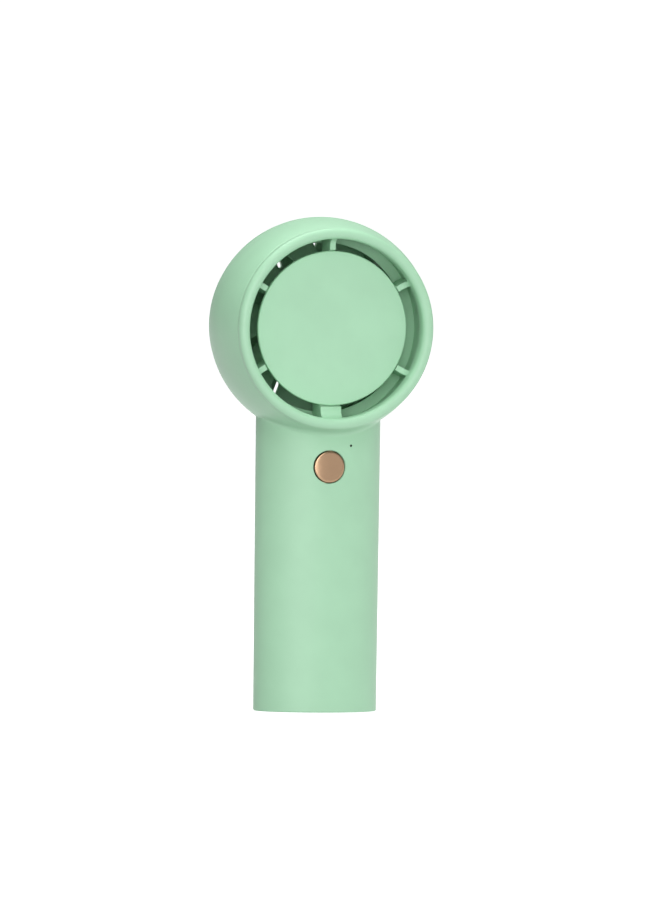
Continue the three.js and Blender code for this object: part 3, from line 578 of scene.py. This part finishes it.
def rear_cover():
    """The domed back, its intake slots and the collar round the impeller."""
    rim_y = DRUM_BACK_Y + GAP / 2 + SEAM / 2
    rim_r = cover_high.x
    rise = REAR_Y - rim_y
    reach = rim_r - COVER_FLAT_R
    edge = 0.15 * MM
    outside = arc(COVER_FLAT_R, rim_y + edge, reach, rise - edge, 40)
    inner_reach = reach - COVER_WALL
    start = math.acos((COLLAR_INNER_R - COVER_FLAT_R) / inner_reach)
    inside = arc(COVER_FLAT_R, rim_y, inner_reach, rise - COVER_WALL, 24, start)
    tip = 0.2 * MM
    profile = [
        (0, REAR_Y),
        (8 * MM, REAR_Y),
        *reversed(outside),
        (rim_r - edge, rim_y),
        (COLLAR_R, rim_y),
        *arc(COLLAR_R - tip, COLLAR_FRONT_Y + tip, tip, -tip, 4),
        *arc(COLLAR_INNER_R + tip, COLLAR_FRONT_Y + tip, -tip, -tip, 4, math.pi / 2, 0),
        *inside,
        (0, REAR_Y - COVER_WALL),
    ]
    cover = turned("rear_cover_moulding", profile)
    length = INTAKE_REACH[1] - INTAKE_REACH[0]
    middle = sum(INTAKE_REACH) / 2
    cutters = []
    for i in range(INTAKE_COUNT):
        turn = Matrix.Rotation(2 * math.pi * (i + 0.5) / INTAKE_COUNT, 4, "Y")
        place = Matrix.Translation((0, REAR_Y + MM, HEAD_Z)) @ turn
        place = place @ Matrix.Translation((middle, 0, 0)) @ Matrix.Rotation(math.pi / 2, 4, "X")
        cutters.append(slab(f"intake_{i}", slot_outline(length, INTAKE_WIDTH, 6), 8 * MM, place))
    return round_edges(cut(cover, merged(cutters)), 0.2 * MM)


def foot_cap():
    """The oval plug in the handle's foot, with the charging port and two screw wells."""
    half_w, half_d, thick = cap_high.x + GAP / 2, cap_high.y + GAP / 2, cap_high.z
    edge = 0.2 * MM
    profile = [(0, 0), *arc(half_w - edge, edge, edge, edge, 4, -math.pi / 2, 0)]
    profile += [(half_w, thick), (0, thick)]
    plate = turned("foot_cap", profile, oval_place(half_d / half_w), 192)
    usb_y = (usb_low.y + usb_high.y) / 2
    port_place = Matrix.Translation((0, usb_y, -MM))
    tools = [slab("port", slot_outline(PORT_WIDTH, PORT_HEIGHT), thick + 2 * MM, port_place)]
    for x in (-CAP_SCREW_X, CAP_SCREW_X):
        well_top = Vector((x, 0, SCREW_WELL_DEPTH))
        tools.append(rod("well", SCREW_WELL_R, Vector((x, 0, -MM)), well_top))
        tools.append(rod("hole", SCREW_HOLE_R, Vector((x, 0, 0)), Vector((x, 0, thick + MM)), 32))
    return round_edges(cut(plate, *tools), 0.15 * MM)


# ---- button, impeller and small parts -------------------------------------------------------


def power_button():
    """A metal cap whose face follows the handle's curve, on a flange behind the wall."""
    edge = 0.3 * MM
    flange_y, back_y = button_high.y - BUTTON_FLANGE, button_high.y
    flange_r = button_high.x
    face = [(BUTTON_R * i / 12, 0) for i in range(12)]
    rim = arc(BUTTON_R - edge, edge, edge, -edge, 6, math.pi / 2, 0)
    profile = [*face, *rim[1:], (BUTTON_R, MM), (BUTTON_R, 1.8 * MM)]
    rear = [
        (BUTTON_R, flange_y),
        (flange_r - 0.1 * MM, flange_y),
        (flange_r, flange_y + 0.1 * MM),
        (flange_r, back_y),
        (0, back_y),
    ]

    def place(r, a, t):
        """The cap's rows follow the handle's curve. The flange's rows are flat, so t is their y."""
        x = r * math.cos(a)
        along = t if t < -5 * MM else handle_front_y(x, BUTTON_PROUD) + t
        return (x, along, BUTTON_Z + r * math.sin(a))

    return smooth(turned("power_button_cap", profile + rear, place, 128))


def blade_loop(r):
    """Points round a blade's section on the cylinder of radius r."""
    share = (r - HUB_R) / (BLADE_TIP_R - HUB_R)
    mix = lambda pair: pair[0] + (pair[1] - pair[0]) * share
    sweep = BLADE_SWEEP * share * share
    wrap = mix(BLADE_WRAP) / r
    front_y, back_y = mix(BLADE_FRONT_Y), mix(BLADE_BACK_Y)
    thickness = mix(BLADE_THICKNESS)

    def camber(s):
        """The middle line's angle and y at a share s of the blade's chord."""
        along = s + BLADE_CAMBER * math.sin(math.pi * s)
        return sweep + wrap * (s - 0.5), front_y + (back_y - front_y) * along

    def side(s, sign):
        """A point on one side of the blade, square to the middle line."""
        turn, y = camber(s)
        next_turn, next_y = camber(s + 0.01)
        along = Vector(((next_turn - turn) * r, next_y - y)).normalized()
        half = sign * thickness * math.sin(math.pi * s) ** 0.35 / 2
        angle = turn - along.y * half / r
        return (r * math.sin(angle), y + along.x * half, HEAD_Z + r * math.cos(angle))

    stations = [(1 - math.cos(math.pi * (i + 0.5) / 16)) / 2 for i in range(16)]
    return [side(s, 1) for s in stations] + [side(s, -1) for s in reversed(stations)]


def impeller():
    """The glossy impeller: a cup over the rotor can and its twisted blades."""
    cup_r = can_high.x + GAP
    cup_y = can_high.y + GAP
    profile = [
        (SHAFT_HOLE_R, cup_y),
        (cup_r, cup_y),
        (cup_r, HUB_FRONT_Y),
        (HUB_R - 0.2 * MM, HUB_FRONT_Y),
        (HUB_R, HUB_FRONT_Y + 0.2 * MM),
        *arc(HUB_R - HUB_ROUND, HUB_BACK_Y - HUB_ROUND, HUB_ROUND, HUB_ROUND, 12),
        (SHAFT_HOLE_R, HUB_BACK_Y),
    ]
    hub = turned("impeller_moulding", profile, facets=160, closed=True)
    root = HUB_R - 0.6 * MM
    steps = 14
    blades = []
    loops = [blade_loop(root + (BLADE_TIP_R - root) * k / steps) for k in range(steps + 1)]
    centre = Matrix.Translation((0, 0, HEAD_Z))
    for i in range(BLADE_COUNT):
        turn = centre @ Matrix.Rotation(2 * math.pi * i / BLADE_COUNT, 4, "Y") @ centre.inverted()
        blades.append(lofted(f"blade_{i}", [[turn @ Vector(p) for p in loop] for loop in loops]))
    return smooth(join(hub, merged(blades)), math.radians(50))


def impeller_nut():
    """The domed nut on the shaft's end, behind the impeller's hub."""
    r, seat, tip = nut_high.x, nut_low.y, nut_high.y
    profile = [
        (0, seat + NUT_HOLE_DEPTH),
        (SHAFT_HOLE_R, seat + NUT_HOLE_DEPTH),
        (SHAFT_HOLE_R, seat),
        (r - 0.15 * MM, seat),
        (r, seat + 0.15 * MM),
        *arc(0, seat + NUT_SIDE, r, tip - seat - NUT_SIDE, 14)[:-1],
        (0, tip),
    ]
    return smooth(turned("impeller_nut_cap", profile, facets=96))


def cap_screw(index):
    """A pan-head screw with a cross recess, head down in the foot cap's well."""
    low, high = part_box(f"cap_screw_{index}")
    x, y = (low.x + high.x) / 2, (low.y + high.y) / 2
    around = lambda r, a, t: (x + r * math.cos(a), y + r * math.sin(a), low.z + t)
    head = arc(0, SCREW_HEAD_HEIGHT, SCREW_HEAD_R, -SCREW_HEAD_HEIGHT, 10, math.pi / 2, 0)
    profile = [(0, 0), *head[1:]]
    for i in range(THREAD_TURNS):
        z = SCREW_HEAD_HEIGHT + THREAD_PITCH * (i + 0.3)
        profile += [(SCREW_SHANK_R - THREAD_DEPTH, z), (SCREW_SHANK_R, z + THREAD_PITCH / 2)]
    profile += [(0, high.z - low.z)]
    screw = turned(f"cap_screw_{index}_fine", profile, around, 48)
    recess = slot_outline(RECESS_LENGTH, RECESS_WIDTH, 4)
    for k, turn in enumerate((0, math.pi / 2)):
        bar = Matrix.Translation((x, y, low.z - MM)) @ Matrix.Rotation(turn, 4, "Z")
        cut(screw, slab(f"recess_{k}", recess, MM + RECESS_DEPTH, bar))
    return smooth(screw)


def light_pipe():
    """The lamp's light pipe, with a dark nose that fills the pinhole to just below the surface, as
    painted shade for the pinhole's depth.
    """
    edge = 0.1 * MM
    nose_r = PINHOLE_R - SEAM / 2
    body_r = (pipe_high.x - pipe_low.x) / 2
    # the dark nose comes up to just below the surface: painted shade where the pinhole's depth would be
    tip = handle_front_y(LAMP_X + nose_r) + edge
    profile = [
        (0, tip),
        *arc(nose_r - edge, tip + edge, edge, -edge, 4, math.pi / 2, 0),
        (nose_r, pipe_low.y),
        (body_r - edge, pipe_low.y),
        (body_r, pipe_low.y + edge),
        (body_r, pipe_high.y),
        (0, pipe_high.y),
    ]
    place = lambda r, a, t: (LAMP_X + r * math.cos(a), t, LAMP_Z + r * math.sin(a))
    return smooth(turned("light_pipe_and_pinhole_shade", profile, place, 48))


def usb_shell():
    """The charging socket's metal shell, open downwards."""
    middle_y = (usb_low.y + usb_high.y) / 2
    width, height = usb_high.x - usb_low.x, usb_high.y - usb_low.y
    place = Matrix.Translation((0, middle_y, usb_low.z))
    tall = usb_high.z - usb_low.z
    shell = slab("usb_shell_fine", slot_outline(width, height, 12), tall, place)
    lower = Matrix.Translation((0, 0, -GAP)) @ place
    hollow = slab("hollow", slot_outline(width - 2 * GAP, height - 2 * GAP, 12), tall, lower)
    return round_edges(cut(shell, hollow), 0.08 * MM)


# ---- materials ------------------------------------------------------------------------------


class Look:
    """A procedural material: a Principled shader fed by noise in the object's own metres."""

    def __init__(self, name, base, roughness, metallic=0.0):
        self.material = bpy.data.materials.new(name)
        self.material.use_nodes = True
        self.tree = self.material.node_tree
        self.shader = self.tree.nodes["Principled BSDF"]
        self.shader.inputs["Metallic"].default_value = metallic
        self.place = self.tree.nodes.new("ShaderNodeTexCoord").outputs["Object"]
        self.tint(base, 0.02, 90)
        self.rough(roughness, 0.04, 700)

    def link(self, a, b):
        self.tree.links.new(a, b)

    def noise(self, scale, stretch=(1, 1, 1)):
        """Noise of the given scale per metre, stretched along the axes."""
        node = self.tree.nodes.new("ShaderNodeTexNoise")
        node.inputs["Scale"].default_value = scale
        mapping = self.tree.nodes.new("ShaderNodeMapping")
        mapping.inputs["Scale"].default_value = stretch
        self.link(self.place, mapping.inputs["Vector"])
        self.link(mapping.outputs["Vector"], node.inputs["Vector"])
        return node.outputs["Fac"]

    def tint(self, base, spread, scale):
        """A base colour that wanders a little to either side."""
        node = self.tree.nodes.new("ShaderNodeValToRGB")
        for end, place, share in zip(node.color_ramp.elements, (0.3, 0.7), (1 - spread, 1 + spread)):
            end.position = place
            end.color = (*[c * share for c in base], 1)
        self.link(self.noise(scale), node.inputs["Fac"])
        self.link(node.outputs["Color"], self.shader.inputs["Base Color"])

    def rough(self, middle, spread, scale):
        """A roughness that wanders a little to either side."""
        node = self.tree.nodes.new("ShaderNodeMapRange")
        node.inputs["To Min"].default_value = middle - spread
        node.inputs["To Max"].default_value = middle + spread
        self.link(self.noise(scale), node.inputs["Value"])
        self.link(node.outputs["Result"], self.shader.inputs["Roughness"])

    def grain(self, scale, depth, strength, stretch=(1, 1, 1)):
        """A fine surface relief, on top of any relief already there."""
        node = self.tree.nodes.new("ShaderNodeBump")
        node.inputs["Strength"].default_value = strength
        node.inputs["Distance"].default_value = depth
        self.link(self.noise(scale, stretch), node.inputs["Height"])
        if self.shader.inputs["Normal"].is_linked:
            self.link(self.shader.inputs["Normal"].links[0].from_socket, node.inputs["Normal"])
        self.link(node.outputs["Normal"], self.shader.inputs["Normal"])

    def set(self, **values):
        """Values that are the same all over, with the socket's name written with underscores."""
        for name, value in values.items():
            self.shader.inputs[name.replace("_", " ")].default_value = value
        return self


MINT = (0.414, 0.72, 0.485)


def mint_plastic():
    look = Look("mint_plastic", MINT, 0.42)
    look.grain(5200, 0.006 * MM, 0.35)
    look.grain(260, 0.004 * MM, 0.25)
    return look.material


def gloss_mint_plastic():
    look = Look("gloss_mint_plastic", MINT, 0.16)
    look.grain(240, 0.004 * MM, 0.4)
    return look.material


def rose_gold():
    look = Look("rose_gold", (0.365, 0.238, 0.148), 0.2, 1.0)
    look.grain(2600, 0.002 * MM, 0.3, (1, 1, 0.04))
    return look.material


def metal(name, base, roughness, grain=2400):
    look = Look(name, base, roughness, 1.0)
    look.grain(grain, 0.003 * MM, 0.4, (1, 0.08, 1))
    return look.material


def resin(name, base, roughness, grain=1800):
    look = Look(name, base, roughness)
    look.grain(grain, 0.006 * MM, 0.4)
    return look.material


def clear_plastic():
    """Smoke-tinted and near black, so it looks dark while the lamp is off; it passes the lamp's light.
    In the pinhole this dark colour is also painted shade for the hole's depth.
    """
    look = Look("clear_plastic", (0.02, 0.025, 0.02), 0.12)
    look.grain(400, 0.006 * MM, 0.4)
    return look.set(Transmission_Weight=0.3).material


MATERIALS = {
    "mint_shell": mint_plastic(),
    "gloss_mint": gloss_mint_plastic(),
    "rose_gold": rose_gold(),
    "steel": metal("turned_steel", (0.56, 0.57, 0.58), 0.32),
    "bearing_steel": metal("bearing_steel", (0.62, 0.63, 0.65), 0.14),
    "core_steel": metal("core_steel", (0.12, 0.12, 0.13), 0.45, 900),
    "magnet": resin("ferrite", (0.035, 0.035, 0.038), 0.55),
    "copper": metal("copper_wire", (0.78, 0.36, 0.18), 0.28, 3800),
    "nickel": metal("nickel_plate", (0.60, 0.58, 0.54), 0.22),
    "board": resin("solder_mask", (0.012, 0.12, 0.045), 0.35),
    "black_resin": resin("black_resin", (0.012, 0.012, 0.013), 0.5),
    "white_plastic": resin("white_plastic", (0.78, 0.78, 0.75), 0.42),
    "cell_wrap": resin("cell_wrap", (0.11, 0.23, 0.40), 0.25, 300),
    # its near-black colour is partly the pipe's smoke tint and partly painted shade for the pinhole it
    # fills
    "clear_plastic": clear_plastic(),
    "red_lead": resin("red_insulation", (0.42, 0.02, 0.015), 0.45),
    "black_lead": resin("black_insulation", (0.012, 0.012, 0.012), 0.45),
    "white_lead": resin("white_insulation", (0.72, 0.72, 0.70), 0.45),
}
SLOT_OF = {row["node"]: row["material_slot"] for row in frame["record"]["subparts"]}
BODIES = frame["record"]["behaviour"]["bodies"]
BODY_OF = {node: body for body, nodes in BODIES.items() for node in nodes}


def finish_piece(obj, node):
    """Gives a piece the material, slot and body of the CAD node it stands for."""
    obj.data.materials.clear()
    obj.data.materials.append(MATERIALS[SLOT_OF[node]])
    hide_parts(node)
    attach(obj, BODY_OF[node])


def dress_cad_nodes():
    """Materials and soft edges for the CAD nodes that stay as they are."""
    for node, obj in frame["nodes"].items():
        if obj.hide_render:
            continue
        obj.data.materials.clear()
        obj.data.materials.append(MATERIALS[SLOT_OF[node]])
        smooth(obj)


# ---- stage ----------------------------------------------------------------------------------

VIEW_AZIMUTH = -16.25
VIEW_ELEVATION = 2.2
VIEW_ROLL = 0.72
VIEW_HEIGHT = 300.9 * MM  # what the picture's long side spans at the object
AIM_Z = 87.2 * MM
AIM_RIGHT = 4.1 * MM

FOCAL_LENGTH = 1000  # so long that the view is almost flat, as in the photograph
SENSOR_WIDTH = 36

WORLD_LEFT_RIGHT = (0.0, 0.5)  # strength of the soft light from the left and the right
WORLD_BELOW = 0.37
LIGHT_DISTANCE = 1.6
FLOOR_HALF = 30.0
FLOOR_DROP = 0.2 * MM


def toward(azimuth, elevation):
    """The direction from the object to an eye or a light at that azimuth and elevation."""
    a, e = math.radians(azimuth), math.radians(elevation)
    return Vector((math.sin(a) * math.cos(e), -math.cos(a) * math.cos(e), math.sin(e)))


def add_camera():
    """The photograph's viewing angle. The longer side of the picture spans VIEW_HEIGHT."""
    data = bpy.data.cameras.new("camera")
    data.lens = FOCAL_LENGTH
    data.sensor_width = SENSOR_WIDTH
    distance = data.lens / data.sensor_width * VIEW_HEIGHT
    data.clip_start = distance / 20
    data.clip_end = distance * 20
    camera = bpy.data.objects.new("camera", data)
    bpy.context.scene.collection.objects.link(camera)
    back = toward(VIEW_AZIMUTH, VIEW_ELEVATION)
    turn = back.to_track_quat("Z", "Y").to_matrix().to_4x4()
    turn = turn @ Matrix.Rotation(math.radians(VIEW_ROLL), 4, "Z")
    aim = Vector((0, 0, AIM_Z)) + turn.col[0].to_3d() * AIM_RIGHT
    camera.matrix_world = Matrix.Translation(aim + back * distance) @ turn
    bpy.context.scene.camera = camera


def softbox(name, azimuth, elevation, size, power):
    """A rectangular light that faces the object from the given direction."""
    data = bpy.data.lights.new(name, "AREA")
    data.shape = "RECTANGLE"
    data.size, data.size_y = size
    data.energy = power
    light = bpy.data.objects.new(name, data)
    bpy.context.scene.collection.objects.link(light)
    back = toward(azimuth, elevation)
    turn = back.to_track_quat("Z", "Y").to_matrix().to_4x4()
    light.matrix_world = Matrix.Translation(Vector((0, 0, AIM_Z)) + back * LIGHT_DISTANCE) @ turn


def add_floor():
    """A white paper floor. It doesn't light the object from below."""
    signs = ((-1, -1), (1, -1), (1, 1), (-1, 1))
    corners = [(x * FLOOR_HALF, y * FLOOR_HALF, -FLOOR_DROP) for x, y in signs]
    floor = piece("floor", corners, [[0, 1, 2, 3]])
    look = Look("floor_paper", (0.5, 0.5, 0.5), 0.8)
    look.set(Emission_Color=(1, 1, 1, 1), Emission_Strength=0.92)
    floor.data.materials.append(look.material)
    floor.visible_diffuse = False


def add_world():
    """Soft light all round, brighter from the right than the left, and some from below."""
    world = bpy.data.worlds.new("studio")
    world.use_nodes = True
    tree = world.node_tree
    place = tree.nodes.new("ShaderNodeTexCoord")
    split = tree.nodes.new("ShaderNodeSeparateXYZ")
    tree.links.new(place.outputs["Generated"], split.inputs["Vector"])

    def fade(axis, reach, low, high):
        """A strength that goes from low to high along an axis, between -reach and reach."""
        node = tree.nodes.new("ShaderNodeMapRange")
        for name, value in zip(("From Min", "From Max", "To Min", "To Max"), (-reach, reach, low, high)):
            node.inputs[name].default_value = value
        tree.links.new(split.outputs[axis], node.inputs["Value"])
        return node.outputs["Result"]

    both = tree.nodes.new("ShaderNodeMath")
    both.operation = "ADD"
    tree.links.new(fade("X", 0.4, *WORLD_LEFT_RIGHT), both.inputs[0])
    tree.links.new(fade("Z", 0.3, WORLD_BELOW, 0.0), both.inputs[1])
    background = tree.nodes["Background"]
    background.inputs["Color"].default_value = (1, 1, 1, 1)
    tree.links.new(both.outputs["Value"], background.inputs["Strength"])
    bpy.context.scene.world = world


def add_lights():
    """Six soft lights: their azimuth, elevation, size in metres and power in watts."""
    wide = (0.9, 0.7)
    softbox("front_high", -16, 40, wide, 4.9)
    softbox("front", -16, 8, wide, 8)
    softbox("front_left", -40, 8, wide, 3.3)
    softbox("left_high", -90, 65, wide, 7.8)
    softbox("back_high", 180, 65, wide, 2.6)
    softbox("top", -10, 85, (1, 1), 9.2)


# ---- assembly -------------------------------------------------------------------------------

add_camera()
finish_piece(housing_shell(), "main_housing")
finish_piece(outlet_ring(), "outlet_ring")
finish_piece(front_disc(), "front_disc")
finish_piece(rear_cover(), "rear_cover")
finish_piece(foot_cap(), "bottom_cap")
finish_piece(power_button(), "power_button")
finish_piece(impeller(), "impeller")
finish_piece(impeller_nut(), "impeller_nut")
finish_piece(cap_screw(1), "cap_screw_1")
finish_piece(cap_screw(2), "cap_screw_2")
finish_piece(usb_shell(), "usb_shell")
finish_piece(light_pipe(), "light_pipe")
dress_cad_nodes()
add_floor()
add_world()
add_lights()
bpy.context.scene.view_settings.view_transform = "Standard"
